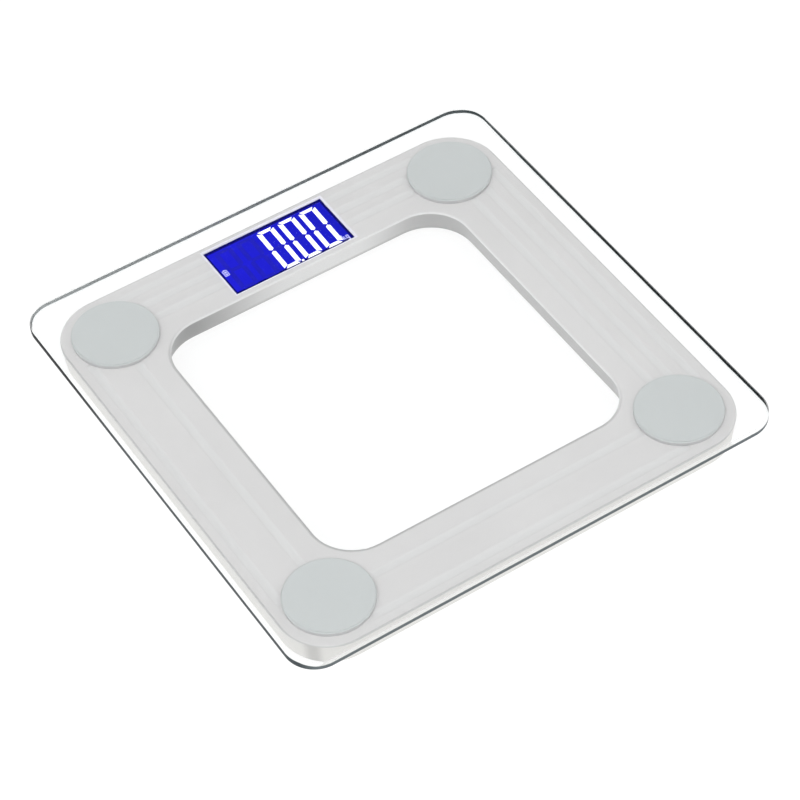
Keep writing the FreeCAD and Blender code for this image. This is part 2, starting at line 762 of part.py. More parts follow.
def make_foot(name, x, y):
    """Foot cap that slides through the lower shell, with a soft pad under it."""
    ceiling = "dims.pad_thickness"
    cap = turned(
        f"foot_cap_{name}",
        [
            ("0", ceiling),
            ("dims.foot_recess", ceiling),
            ("dims.foot_recess", "dims.foot_rim_bottom"),
            ("dims.foot_radius", "dims.foot_rim_bottom"),
            ("dims.foot_radius", "dims.foot_rim_top"),
            ("dims.foot_radius - dims.foot_rim_wall", "dims.foot_rim_top"),
            ("dims.foot_radius - dims.foot_rim_wall", f"{ceiling} + dims.foot_floor"),
            ("dims.hub_radius", f"{ceiling} + dims.foot_floor"),
            ("dims.hub_radius", "dims.cell_bottom"),
            ("dims.peg_radius", "dims.cell_bottom"),
            ("dims.peg_radius", "dims.cell_bottom + dims.peg_length"),
            ("0", "dims.cell_bottom + dims.peg_length"),
        ],
    )
    place(cap, x, y)
    grooves = []
    for inner in ("dims.groove_first", "dims.groove_first + dims.groove_pitch"):
        outer = f"{inner} + dims.groove_width"
        grooves += [(inner, "0"), (inner, "dims.groove_depth")]
        grooves += [(outer, "dims.groove_depth"), (outer, "0")]
    sole = turned(
        f"foot_pad_{name}",
        [("0", "0")]
        + grooves
        + [
            ("dims.pad_radius - dims.pad_chamfer", "0"),
            ("dims.pad_radius", "dims.pad_chamfer"),
            ("dims.pad_radius", "dims.pad_thickness"),
            ("0", "dims.pad_thickness"),
        ],
    )
    place(sole, x, y)


def make_corners():
    """Seat, load cell, gauge cover, foot cap and pad at each corner."""
    for name, (x, y) in CORNERS.items():
        spot = (f"{x} * dims.corner_centre", f"{y} * dims.corner_centre")
        turn = 0.0 if y < 0 else 180.0
        make_seat(name, *spot, turn)
        make_load_cell(name, *spot, turn)
        make_gauge(name, *spot, turn)
        make_foot(name, *spot)


# ---------------------------------------------------------------- display and electronics


def make_display():
    """Panel under the window, its light guide, contact strip and holder, on the board."""
    middle = "dims.window_centre_y"
    panel = add_box(
        "lcd_panel",
        ("-dims.lcd_half_x", f"{middle} - dims.lcd_half_y", LCD_BOTTOM),
        ("dims.lcd_half_x", f"{middle} + dims.lcd_half_y", LCD_TOP),
    )
    inner_back = f"{middle} + dims.holder_half_y - dims.holder_wall"
    light = add_box(
        "lcd_backlight",
        ("-dims.backlight_half_x", "dims.backlight_front", BOARD_TOP),
        ("dims.backlight_half_x", f"{inner_back} - dims.backlight_gap", LCD_BOTTOM),
    )
    strip_front = "dims.backlight_front - dims.strip_gap - dims.strip_width"
    strip = add_box(
        "contact_strip",
        ("-dims.strip_half_x", strip_front, BOARD_TOP),
        ("dims.strip_half_x", "dims.backlight_front - dims.strip_gap", LCD_BOTTOM),
    )
    parts.extend((panel, light, strip))

    holder = new_body("display_holder")
    rim = new_sketch(holder, "holder_rim", BOARD_TOP)
    for inset in ("0", "dims.holder_wall"):
        across, along = f"(dims.holder_half_x - {inset})", f"(dims.holder_half_y - {inset})"
        add_rectangle(rim, f"-{across}", across, f"{middle} - {along}", f"{middle} + {along}")
    pad(holder, rim, "dims.backlight_height")


def make_board():
    """Circuit board with its chip, small parts, lead plugs and unit switch."""
    board = new_body("main_board")
    outline = new_sketch(board, "board_outline", BOARD_BOTTOM)
    edge = "dims.board_half_x"
    add_rectangle(outline, f"-{edge}", edge, "dims.board_front", "dims.board_back")
    for x, y in BOARD_SCREWS:
        add_circle(outline, x, y, "dims.screw_hole_radius")
    pad(board, outline, "dims.board_thickness")

    chip = turned(
        "controller_chip",
        [
            ("0", "-dims.blob_height"),
            *[(f"dims.blob_radius * {out}", f"-dims.blob_height * {down}") for out, down in CHIP_DOME],
            ("dims.blob_radius", "0"),
            ("0", "0"),
        ],
    )
    place(chip, "dims.blob_x", "dims.board_middle", BOARD_BOTTOM)

    members = []
    for number, (x, y, length, width) in enumerate(SMALL_PARTS):
        low = (f"{x}", f"{y}", f"{BOARD_BOTTOM} - {width} / 2")
        high = (f"{x} + {length}", f"{y} + {width}", BOARD_BOTTOM)
        members.append(add_box(f"board_part_{number}", low, high))
    add_group("board_components", members)

    plugs = []
    for number, (x, y) in enumerate(lead_ends()):
        across = "dims.plug_half_x"
        low = (f"{x} - {across}", f"{y} - dims.plug_half_y", f"{BOARD_BOTTOM} - dims.plug_height")
        high = (f"{x} + {across}", f"{y} + dims.plug_half_y", BOARD_BOTTOM)
        plugs.append(add_box(f"plug_{number}", low, high))
    add_group("lead_plugs", plugs)

    switch = new_body("switch_body")
    case = new_sketch(switch, "switch_case", BOARD_BOTTOM)
    half = "dims.switch_half"
    add_rounded(case, half, half, "dims.switch_corner", "dims.switch_x", "dims.board_middle")
    pad(switch, case, "dims.switch_height", reverse=True)
    well = new_sketch(switch, "switch_well", f"{BOARD_BOTTOM} - dims.switch_height")
    bore = "dims.plunger_radius + dims.switch_slack"
    add_circle(well, "dims.switch_x", "dims.board_middle", bore)
    depth = "dims.plunger_length - dims.plunger_stand + dims.press_travel + dims.switch_slack"
    pocket(switch, well, depth, reverse=True)

    low = f"({BOARD_BOTTOM} - dims.switch_height - dims.plunger_stand)"
    plunger = add_primitive(
        "Cylinder",
        "switch_plunger",
        {"Radius": "dims.plunger_radius", "Height": "dims.plunger_length"},
        ("dims.switch_x", "dims.board_middle", low),
    )
    parts.append(plunger)
    face = "(dims.frame_bottom + dims.button_recess)"
    flange = f"({LOWER_TOP} + dims.button_flange_gap)"
    button = turned(
        "unit_button",
        [
            ("0", face),
            ("dims.button_radius - dims.button_edge", face),
            ("dims.button_radius", f"{face} + dims.button_edge"),
            ("dims.button_radius", flange),
            ("dims.button_flange_radius", flange),
            ("dims.button_flange_radius", f"{flange} + dims.button_flange_height"),
            ("dims.button_stem_radius", f"{flange} + dims.button_flange_height"),
            ("dims.button_stem_radius", low),
            ("0", low),
        ],
    )
    place(button, "dims.switch_x", "dims.board_middle")


# ---------------------------------------------------------------- battery bay


def make_door():
    """Battery door: plate with a round hinge edge, two stub pins and a catch."""
    body = new_body("battery_door")
    middle = "dims.bay_centre_y"
    half = "(dims.bay_half_y - dims.door_gap)"
    free_end = "(dims.bay_right - dims.door_gap)"
    plate = new_sketch(body, "door_plate", "dims.frame_bottom")
    add_rectangle(plate, "dims.hinge_x", free_end, f"{middle} - {half}", f"{middle} + {half}")
    pad(body, plate, "dims.door_thickness")
    for name, radius, reach in (
        ("knuckle", "dims.knuckle_radius", half),
        ("hinge_pins", "dims.pin_radius", f"({half} + dims.pin_reach)"),
    ):
        sketch = new_sketch(body, name, f"-({middle})", plane="XZ_Plane")
        add_circle(sketch, "dims.hinge_x", "dims.hinge_level", radius)
        pad(body, sketch, f"2 * {reach}", both_ways=True)
    catch = new_sketch(body, "catch", "dims.frame_bottom + dims.door_thickness")
    add_rectangle(
        catch,
        f"{free_end} - dims.catch_thickness - dims.catch_inset",
        f"{free_end} - dims.catch_inset",
        f"{middle} - dims.catch_half",
        f"{middle} + dims.catch_half",
    )
    pad(body, catch, "dims.catch_height")
    ridges = new_sketch(body, "grip_ridges", "dims.frame_bottom")
    front, back = f"{middle} - dims.ridge_half", f"{middle} + dims.ridge_half"
    for step in range(4):
        start = f"({free_end} - dims.ridge_inset - {step} * dims.ridge_pitch)"
        add_rectangle(ridges, f"{start} - dims.ridge_width", start, front, back)
    pocket(body, ridges, "dims.ridge_depth", reverse=True)


def make_batteries():
    """Two AAA cells side by side, with a spring and a tab at each end."""
    end = "dims.aaa_length / 2"
    shoulder = f"{end} - dims.aaa_nub_length"
    narrow = "dims.aaa_radius - dims.aaa_edge"
    outline = [
        ("0", f"-{end}"),
        (narrow, f"-{end}"),
        ("dims.aaa_radius", f"-{end} + dims.aaa_edge"),
        ("dims.aaa_radius", f"{shoulder} - dims.aaa_edge"),
        (narrow, shoulder),
        ("dims.aaa_nub_radius", shoulder),
        ("dims.aaa_nub_radius", end),
        ("0", end),
    ]
    for name, side in (("front", -1), ("back", 1)):
        cell = turned(f"battery_{name}", outline)
        cell.Placement = FreeCAD.Placement(V(), FreeCAD.Rotation(V(0, 1, 0), 90 * side))
        wall = "dims.bay_left" if side < 0 else "dims.bay_right"
        middle = f"{side} * ({wall} - dims.contact_thickness - {end})"
        cell.setExpression("Placement.Base.x", middle)
        cell.setExpression("Placement.Base.y", BATTERY_LINES[name])
        cell.setExpression("Placement.Base.z", "dims.aaa_level")


def make_spring(label, line, plate, side):
    """Bent strip that stands on a contact plate and presses on the end of a cell."""
    body = new_body(label)
    depth = "(dims.bay_left + dims.bay_right - 2 * dims.contact_thickness - dims.aaa_length)"
    slope = "(dims.spring_half_height - dims.spring_nose)"
    thickness = "dims.spring_thickness"
    foot = f"({thickness} * sqrt({depth} ^ 2 + {slope} ^ 2) / {depth})"
    inner_foot = f"(dims.spring_half_height - {foot})"
    inner_nose = f"({inner_foot} - {slope} * ({depth} - {thickness}) / {depth})"
    tip = f"({plate} + {side} * {depth})"
    inner_tip = f"({tip} - {side} * {thickness})"
    profile = new_sketch(body, f"{label}_profile", f"-({line})", plane="XZ_Plane")
    add_polygon(
        profile,
        [
            (plate, "dims.aaa_level - dims.spring_half_height"),
            (tip, "dims.aaa_level - dims.spring_nose"),
            (tip, "dims.aaa_level + dims.spring_nose"),
            (plate, "dims.aaa_level + dims.spring_half_height"),
            (plate, f"dims.aaa_level + {inner_foot}"),
            (inner_tip, f"dims.aaa_level + {inner_nose}"),
            (inner_tip, f"dims.aaa_level - {inner_nose}"),
            (plate, f"dims.aaa_level - {inner_foot}"),
        ],
    )
    pad(body, profile, "2 * dims.spring_half_width", both_ways=True)
    touch = value(tip)

    def on_nose(box):
        at_tip = abs(box.XMin - touch) < 0.01 and abs(box.XMax - touch) < 0.01
        return at_tip and box.YMax - box.YMin > 1

    dress("Fillet", body, f"{label}_bend", "dims.spring_bend", on_nose)


def make_contacts():
    """Tabs, leaf springs and the link plate that joins the two battery cells."""
    tab, thick = "dims.contact_half", "dims.contact_thickness"
    front, back = BATTERY_LINES["front"], BATTERY_LINES["back"]
    low, high = f"dims.aaa_level - {tab}", f"dims.aaa_level + {tab}"
    left_face = f"(-dims.bay_left + {thick})"
    right_face = f"(dims.bay_right - {thick})"
    plates = {
        "contact_negative": ("-dims.bay_left", left_face, f"{back} - {tab}", f"{back} + {tab}"),
        "contact_positive": ("-dims.bay_left", left_face, f"{front} - {tab}", f"{front} + {tab}"),
        "contact_link": (right_face, "dims.bay_right", f"{front} - {tab}", f"{back} + {tab}"),
    }
    for name, (x_low, x_high, y_low, y_high) in plates.items():
        parts.append(add_box(name, (x_low, y_low, low), (x_high, y_high, high)))
    make_spring("spring_negative", back, left_face, 1)
    make_spring("spring_link", front, right_face, -1)


# ---------------------------------------------------------------- wires


def lead_ends():
    """Where the leads plug in under the board: front cells, back cells, then the battery."""
    cell = "(dims.bend_centre + dims.cell_lane)"
    battery = "(dims.bend_centre + dims.battery_lane)"
    return [
        ("-dims.plug_x", cell),
        ("dims.plug_x", cell),
        ("dims.plug_x", "dims.plug_back"),
        ("-dims.plug_x", "dims.plug_back"),
        ("-dims.plug_x", battery),
    ]


def bent_route(points):
    """Straight runs joined by tangent arcs. Each point is x, y and the arc's radius there."""
    edges = []
    start = V(*points[0][:2], 0)
    for here, after in zip(points[1:], points[2:]):
        corner, following = V(*here[:2], 0), V(*after[:2], 0)
        arriving = (corner - start).normalize()
        leaving = (following - corner).normalize()
        half_turn = arriving.getAngle(leaving) / 2
        setback = here[2] * math.tan(half_turn)
        begin, end = corner - arriving * setback, corner + leaving * setback
        bisector = (leaving - arriving).normalize()
        middle = corner + bisector * here[2] * (1 / math.cos(half_turn) - 1)
        edges.append(Part.LineSegment(start, begin).toShape())
        edges.append(Part.Arc(begin, middle, end).toShape())
        start = end
    edges.append(Part.LineSegment(start, V(*points[-1][:2], 0)).toShape())
    return Part.Wire(edges)


def make_lead(label, points, count):
    """Insulated wires one above another along a flat route, fixed at both ends."""
    radius, pitch = value("dims.lead_radius"), value("dims.lead_pitch")
    route = bent_route(points)
    first, second = V(*points[0][:2], 0), V(*points[1][:2], 0)
    tubes = []
    for number in range(count):
        section = Part.Wire(Part.Circle(first, second - first, radius).toShape())
        tube = route.makePipeShell([section], True, False)
        expected = math.pi * radius**2 * route.Length
        print(f"{label}: {route.Length:.1f} mm, volume ratio {tube.Volume / expected:.4f}")
        tube.translate(V(0, 0, pitch * (number - (count - 1) / 2)))
        tubes.append(tube)
    lead = doc.addObject("Part::Feature", label)
    lead.Shape = Part.makeCompound(tubes)
    place(lead, z="dims.lead_level")
    parts.append(lead)


def make_leads():
    """Three wires from each load cell and two from the battery bay, all to the board."""
    gap = value("dims.lead_gap")
    edge = value("dims.corner_centre - dims.cell_half") - gap
    plug = value("dims.plug_x + dims.plug_half_x")
    cell_lane, battery_lane = value("dims.cell_lane"), value("dims.battery_lane")
    bend = value("dims.bend_centre")
    lane = bend + cell_lane
    easy = value("dims.back_lead_radius")
    for side, name in ((-1, "left"), (1, "right")):
        front = [(side * lane, -edge), (side * lane, lane, cell_lane), (side * plug, lane)]
        make_lead(f"cell_lead_front_{name}", front, 3)
        begin, rise = value("dims.back_lead_start"), value("dims.plug_back")
        back = [
            (side * edge, begin),
            (side * value("dims.back_lead_bend"), begin, easy),
            (side * value("dims.back_lead_rise"), rise, easy),
            (side * plug, rise),
        ]
        make_lead(f"cell_lead_back_{name}", back, 3)
    lane = bend + battery_lane
    battery = [
        (-value("dims.bay_left + dims.bay_wall") - gap, -lane),
        (-lane, -lane, battery_lane),
        (-lane, lane, battery_lane),
        (-plug, lane),
    ]
    make_lead("battery_lead", battery, 2)


# ---------------------------------------------------------------- build and write


make_glass()
make_discs()
make_upper_shell()
make_lower_shell()
make_corners()
make_display()
make_board()
make_door()
make_batteries()
make_contacts()
make_leads()
make_screws("shell_screws", SHELL_SCREWS, "dims.frame_bottom", "dims.screw_length")
board_heads = f"({BOARD_BOTTOM} - dims.head_height)"
make_screws("board_screws", BOARD_SCREWS, board_heads, "dims.board_screw_length")
disc_heads = f"({INNER_TOP} - dims.head_height)"
make_screws("disc_screws", ALL_CORNERS, disc_heads, "dims.disc_screw_length")
doc.recompute()

for item in doc.Objects:
    if "Invalid" in item.State or "Error" in item.State:
        raise SystemExit(f"{item.Label} is {item.State}")
for item in parts:
    if item.Shape.isNull() or not item.Shape.isValid():
        raise SystemExit(f"{item.Label} has no valid shape")

os.makedirs("parts", exist_ok=True)
for item in parts:
    item.Shape.exportStep(f"parts/{item.Label}.step")
print(f"{len(parts)} sub-parts, {sum(len(item.Shape.Solids) for item in parts)} solids")
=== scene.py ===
import json
import math

import bmesh
import bpy
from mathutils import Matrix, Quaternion, Vector


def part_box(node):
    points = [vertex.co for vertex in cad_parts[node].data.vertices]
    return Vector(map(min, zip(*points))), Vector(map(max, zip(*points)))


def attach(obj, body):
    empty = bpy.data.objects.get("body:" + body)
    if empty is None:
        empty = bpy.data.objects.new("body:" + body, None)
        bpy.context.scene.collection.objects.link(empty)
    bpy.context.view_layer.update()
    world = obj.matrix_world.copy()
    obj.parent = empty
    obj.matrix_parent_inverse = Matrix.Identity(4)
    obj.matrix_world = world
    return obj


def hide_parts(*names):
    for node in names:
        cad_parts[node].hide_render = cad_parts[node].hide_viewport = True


# A glass-topped platform scale on a pale studio floor. Metres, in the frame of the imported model.

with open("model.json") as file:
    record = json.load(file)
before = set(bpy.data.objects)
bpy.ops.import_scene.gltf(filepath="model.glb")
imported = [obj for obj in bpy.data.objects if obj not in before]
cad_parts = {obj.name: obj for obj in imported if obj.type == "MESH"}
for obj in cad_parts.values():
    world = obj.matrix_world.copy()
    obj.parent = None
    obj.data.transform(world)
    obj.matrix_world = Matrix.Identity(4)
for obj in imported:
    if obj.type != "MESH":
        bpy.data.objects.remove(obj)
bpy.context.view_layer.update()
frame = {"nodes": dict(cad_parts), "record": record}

MM = 0.001
ROOT = "root"
NODES = frame["nodes"]
GLASS_LOW, GLASS_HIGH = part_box("glass_platform")
SHELL_LOW, SHELL_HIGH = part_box("upper_shell")
LCD_LOW, LCD_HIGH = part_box("lcd_panel")
DISPLAY_LEFT, DISPLAY_RIGHT = -39 * MM, 39 * MM
DISPLAY_FRONT, DISPLAY_BACK = 99.9 * MM, 137.6 * MM
RING_HALF, RING_CORNER = 141.5 * MM, 28.7 * MM
OPENING_HALF, OPENING_CORNER = 94.9 * MM, 25.0 * MM
BORDER_WIDTH = 1.25 * MM


# ---------------------------------------------------------------- object and mesh helpers


def put_in_scene(name, data):
    """A new object in the scene."""
    item = bpy.data.objects.new(name, data)
    bpy.context.scene.collection.objects.link(item)
    return item


def finish_mesh(work, name):
    """Turn a bmesh into a mesh whose faces point outwards."""
    bmesh.ops.recalc_face_normals(work, faces=work.faces)
    mesh = bpy.data.meshes.new(name)
    work.to_mesh(mesh)
    work.free()
    return mesh


def turned_towards(direction):
    """The rotation that points a camera or a lamp in this direction."""
    return direction.to_track_quat("-Z", "Y")


# ---------------------------------------------------------------- node helpers


class Look:
    """A material with short calls for the nodes that its pattern needs."""

    def __init__(self, name):
        self.material = bpy.data.materials.new(name)
        self.material.use_nodes = True
        self.tree = self.material.node_tree
        self.tree.nodes.clear()
        self.output = self.tree.nodes.new("ShaderNodeOutputMaterial")
        self.where = self.tree.nodes.new("ShaderNodeTexCoord").outputs["Object"]

    def add(self, kind, **settings):
        node = self.tree.nodes.new(kind)
        for key, setting in settings.items():
            setattr(node, key, setting)
        return node

    def join(self, source, target):
        self.tree.links.new(source, target)

    def feed(self, socket, given):
        """Link a socket, or set it when given a plain value."""
        if isinstance(given, bpy.types.NodeSocket):
            self.join(given, socket)
        else:
            socket.default_value = given

    def math(self, operation, first, second=0.0, third=None, clamp=False):
        node = self.add("ShaderNodeMath", operation=operation, use_clamp=clamp)
        for socket, given in zip(node.inputs, (first, second, third)):
            if given is not None:
                self.feed(socket, given)
        return node.outputs[0]

    def split(self):
        """The object coordinates as three values in metres."""
        node = self.add("ShaderNodeSeparateXYZ")
        self.join(self.where, node.inputs[0])
        return node.outputs[0], node.outputs[1], node.outputs[2]

    def stretched(self, scale):
        node = self.add("ShaderNodeMapping")
        self.join(self.where, node.inputs["Vector"])
        node.inputs["Scale"].default_value = scale
        return node.outputs[0]

    def noise(self, size, detail=2.0, rough=0.5, source=None):
        """Noise whose features are about this size in metres."""
        node = self.add("ShaderNodeTexNoise")
        self.join(source or self.where, node.inputs["Vector"])
        node.inputs["Scale"].default_value = 1.0 / size
        node.inputs["Detail"].default_value = detail
        node.inputs["Roughness"].default_value = rough
        return node.outputs["Fac"]

    def cells(self, size):
        node = self.add("ShaderNodeTexVoronoi")
        self.join(self.where, node.inputs["Vector"])
        node.inputs["Scale"].default_value = 1.0 / size
        return node.outputs["Distance"]

    def span(self, source, low, high, to_low=0.0, to_high=1.0, smooth=False):
        node = self.add("ShaderNodeMapRange")
        if smooth:
            node.interpolation_type = "SMOOTHSTEP"
        self.join(source, node.inputs["Value"])
        for name, number in (
            ("From Min", low),
            ("From Max", high),
            ("To Min", to_low),
            ("To Max", to_high),
        ):
            node.inputs[name].default_value = number
        return node.outputs["Result"]

    def mix(self, share, first, second, blend="MIX"):
        node = self.add("ShaderNodeMix", data_type="RGBA", blend_type=blend)
        self.feed(node.inputs["Factor"], share)
        self.feed(node.inputs["A"], rgba(first))
        self.feed(node.inputs["B"], rgba(second))
        return node.outputs["Result"]

    def bump(self, height, depth):
        """A normal from a height pattern. depth is the pattern's relief in metres."""
        node = self.add("ShaderNodeBump")
        node.inputs["Distance"].default_value = depth
        node.inputs["Strength"].default_value = 1.0
        self.join(height, node.inputs["Height"])
        return node.outputs["Normal"]

    def surface(self, **inputs):
        """Finish with a Principled shader. Names use _ for spaces."""
        node = self.add("ShaderNodeBsdfPrincipled")
        for key, given in inputs.items():
            self.feed(node.inputs[key.replace("_", " ")], rgba(given))
        self.join(node.outputs[0], self.output.inputs["Surface"])
        return self.material


def rgba(given):
    """A colour of three numbers with its alpha, and anything else as it is."""
    if isinstance(given, tuple) and len(given) == 3:
        return (*given, 1.0)
    return given


def srgb(red, green=None, blue=None):
    """Linear colour from 0-255 display values; one value gives a grey."""
    shown = (red, red if green is None else green, red if blue is None else blue)
    return tuple(((c / 255 + 0.055) / 1.055) ** 2.4 if c > 10 else c / 255 / 12.92 for c in shown)


def scaled(colour, factor):
    return tuple(c * factor for c in colour)


# ---------------------------------------------------------------- materials

SHEET_IOR = 1.04
SHEET_COAT = 0.6
SHEET_COAT_ROUGH = 0.02
LAMP_SHADE = (0.97, 0.975, 0.975, 1.0)


def moulded(name, colour, grain=0.35 * MM, relief=0.012 * MM, rough=(0.42, 0.55), tone=0.035):
    """Injection-moulded plastic: fine spark texture, faint flow marks, uneven gloss."""
    look = Look(name)
    fine = look.noise(grain, 3.0, 0.6)
    flow = look.noise(60 * MM, 2.0, 0.5, look.stretched((1.0, 1.0, 4.0)))
    darker, paler = scaled(colour, 1 - tone), scaled(colour, 1 + tone)
    shade = look.mix(look.span(flow, 0.35, 0.65), darker, paler)
    shade = look.mix(look.span(fine, 0.3, 0.7), shade, colour)
    gloss = look.span(look.noise(9 * MM, 3.0), 0.3, 0.7, *rough)
    return look.surface(Base_Color=shade, Roughness=gloss, Normal=look.bump(fine, relief))


def window_wall_painted_shade(look, x, z):
    """Painted shade on the window wall: darkest at the back left corner and brightest at the middle of
    the back.
    """
    rise = look.span(x, -80 * MM, 0.0, smooth=True)
    shade = look.mix(rise, srgb(144), srgb(224))
    fall = look.span(x, 35 * MM, 85 * MM, smooth=True)
    shade = look.mix(fall, shade, srgb(178))
    # Painted shadow darkens the foot of the wall.
    low = look.span(z, SHELL_LOW.z + 4.0 * MM, SHELL_LOW.z + 0.5 * MM, smooth=True)
    return look.mix(look.math("MULTIPLY", low, 0.7), shade, srgb(166))


def painted_corner_reflection(look, x, y):
    """One at the painted dark reflection, a soft streak down the nearest corner of the skirt, and zero
    elsewhere.
    """
    aside = look.math("ABSOLUTE", look.math("ADD", look.math("SUBTRACT", x, y), 2.5 * MM))
    return look.math(
        "MULTIPLY",
        look.span(aside, 10 * MM, 1 * MM, smooth=True),
        look.span(look.math("ADD", x, y), -240 * MM, -250 * MM),
    )


def window_border(look, x, y, z):
    """One on the pale border and bevel round the display window, and zero elsewhere."""
    across = look.math("ABSOLUTE", x)
    along = look.math("ABSOLUTE", look.math("SUBTRACT", y, (LCD_LOW.y + LCD_HIGH.y) / 2))
    reach_x = DISPLAY_RIGHT + BORDER_WIDTH
    reach_y = (DISPLAY_BACK - DISPLAY_FRONT) / 2 + BORDER_WIDTH
    inside = look.math(
        "MULTIPLY",
        look.span(across, reach_x + 0.1 * MM, reach_x - 0.1 * MM),
        look.span(along, reach_y + 0.1 * MM, reach_y - 0.1 * MM),
    )
    return look.math("MULTIPLY", inside, look.span(z, SHELL_HIGH.z - 0.8 * MM, SHELL_HIGH.z - 0.7 * MM))


def from_outline(look, x, y, half, radius):
    """Metres outwards from a square outline with rounded corners, for points near it."""
    corner = [
        look.math("MAXIMUM", look.math("SUBTRACT", look.math("ABSOLUTE", axis), half - radius), 0.0)
        for axis in (x, y)
    ]
    squares = [look.math("MULTIPLY", part, part) for part in corner]
    return look.math("SUBTRACT", look.math("SQRT", look.math("ADD", *squares)), radius)


def painted_edge_shading(look, x, y, z, shade):
    """Painted shade and highlight on the rounded edges of the ring: a soft darker line of painted shade,
    and a painted highlight where the window wall faces forwards.
    """
    top = SHELL_HIGH.z
    until = look.math("MULTIPLY", look.span(z, top - 0.95 * MM, top - 0.75 * MM), 0.85)
    outwards = from_outline(look, x, y, RING_HALF, RING_CORNER)
    # Painted shade: a soft darker line along the outer rounded edge.
    outer_rim_shade = look.span(outwards, -1.3 * MM, -0.6 * MM, smooth=True)
    shade = look.mix(look.math("MULTIPLY", outer_rim_shade, until), shade, srgb(190))
    outwards = from_outline(look, x, y, OPENING_HALF, OPENING_CORNER)
    backwards = look.math("ADD", x, y)
    # Painted shade along the near rim of the window, and a painted highlight along the far rim.
    painted_rim_lines = (
        (look.span(outwards, 2.4 * MM, 1.0 * MM, smooth=True), (30 * MM, -30 * MM), srgb(168)),
        (look.span(outwards, 1.4 * MM, 0.7 * MM, smooth=True), (-30 * MM, 30 * MM), srgb(230)),
    )
    for line, reach, tone in painted_rim_lines:
        share = look.math("MULTIPLY", line, look.span(backwards, *reach))
        shade = look.mix(look.math("MULTIPLY", share, until), shade, tone)
    return shade


def shell_plastic():
    """Silver-grey moulding: satin top, polished flutes with a painted sheen, paler skirt and painted
    shade on the window wall.
    """
    look = Look("shell_silver")
    x, y, z = look.split()
    top = SHELL_HIGH.z
    fine = look.noise(0.30 * MM, 3.0, 0.6)
    flow = look.noise(70 * MM, 2.0, 0.5)
    field = look.mix(look.span(flow, 0.35, 0.65), srgb(215, 214, 214), srgb(218, 217, 217))
    # The flutes are glossier, and their lighter colour is a painted sheen.
    polished = look.span(z, top - 0.02 * MM, top - 0.22 * MM, smooth=True)
    shade = look.mix(polished, field, srgb(221))
    across = look.math("MAXIMUM", look.math("ABSOLUTE", x), look.math("ABSOLUTE", y))
    below = look.span(z, top - 0.45 * MM, top - 0.75 * MM, smooth=True)
    outside = look.span(across, 118 * MM, 128 * MM)
    # The window wall carries painted shade; the outer skirt is a plain paler colour.
    skirt = look.mix(outside, window_wall_painted_shade(look, x, z), srgb(219, 218, 215))
    shade = look.mix(below, shade, skirt)
    # A painted dark reflection down the nearest corner of the skirt.
    streak = look.math("MULTIPLY", painted_corner_reflection(look, x, y), below)
    shade = look.mix(streak, shade, srgb(190, 189, 187))
    shade = painted_edge_shading(look, x, y, z, shade)
    speck = look.span(look.noise(0.18 * MM, 1.0), 0.60, 0.72)
    shade = look.mix(look.math("MULTIPLY", speck, 0.2), shade, srgb(224))
    shade = look.mix(window_border(look, x, y, z), shade, srgb(240, 239, 248))
    gloss = look.span(polished, 0.0, 1.0, 0.46, 0.34)
    return look.surface(Base_Color=shade, Roughness=gloss, Normal=look.bump(fine, 0.006 * MM))


def finish_glass(look, **inputs):
    """Clear sheet glass that lets the lamps through, so that what lies under it is lit."""
    clear = look.add("ShaderNodeBsdfPrincipled")
    coat = {"Coat_Weight": SHEET_COAT, "Coat_Roughness": SHEET_COAT_ROUGH}
    for key, given in {"IOR": SHEET_IOR, **coat, **inputs}.items():
        look.feed(clear.inputs[key.replace("_", " ")], rgba(given))
    lamp = look.add("ShaderNodeBsdfTransparent")
    lamp.inputs["Color"].default_value = LAMP_SHADE
    path = look.add("ShaderNodeLightPath")
    mixer = look.add("ShaderNodeMixShader")
    look.join(path.outputs["Is Shadow Ray"], mixer.inputs[0])
    look.join(clear.outputs[0], mixer.inputs[1])
    look.join(lamp.outputs[0], mixer.inputs[2])
    look.join(mixer.outputs[0], look.output.inputs["Surface"])
    return look.material


def glass_faces():
    """The polished faces, with the faintest roll in the surface and a trace of dust."""
    look = Look("platform_glass")
    dust = look.span(look.noise(6 * MM, 4.0), 0.55, 0.8)
    tint = look.mix(dust, (0.992, 0.996, 0.996), (0.984, 0.987, 0.987))
    roll = look.bump(look.noise(120 * MM, 1.0), 0.0003 * MM)
    return finish_glass(
        look,
        Base_Color=tint,
        Transmission_Weight=1.0,
        Roughness=look.span(dust, 0.0, 1.0, 0.0, 0.02),
        Coat_Normal=roll,
    )


def painted_edge_reflection(look, x, y, sideways):
    """The tone of the dark core, a painted reflection: it follows what each side of the plate mirrors.
    """
    half = GLASS_HIGH.x
    left = look.mix(look.span(y, 20 * MM, 100 * MM, smooth=True), srgb(66, 73, 76), srgb(12, 17, 19))
    right = look.mix(look.span(y, 0.0, 130 * MM), srgb(16, 24, 26), srgb(54, 63, 65))
    flank = look.mix(look.span(x, -0.5 * half, 0.5 * half), left, right)
    back = look.mix(look.span(x, -130 * MM, 100 * MM), srgb(168, 173, 174), srgb(80, 87, 90))
    ends = look.mix(look.span(y, -0.5 * half, 0.5 * half), srgb(100, 107, 110), back)
    return look.mix(sideways, ends, flank)


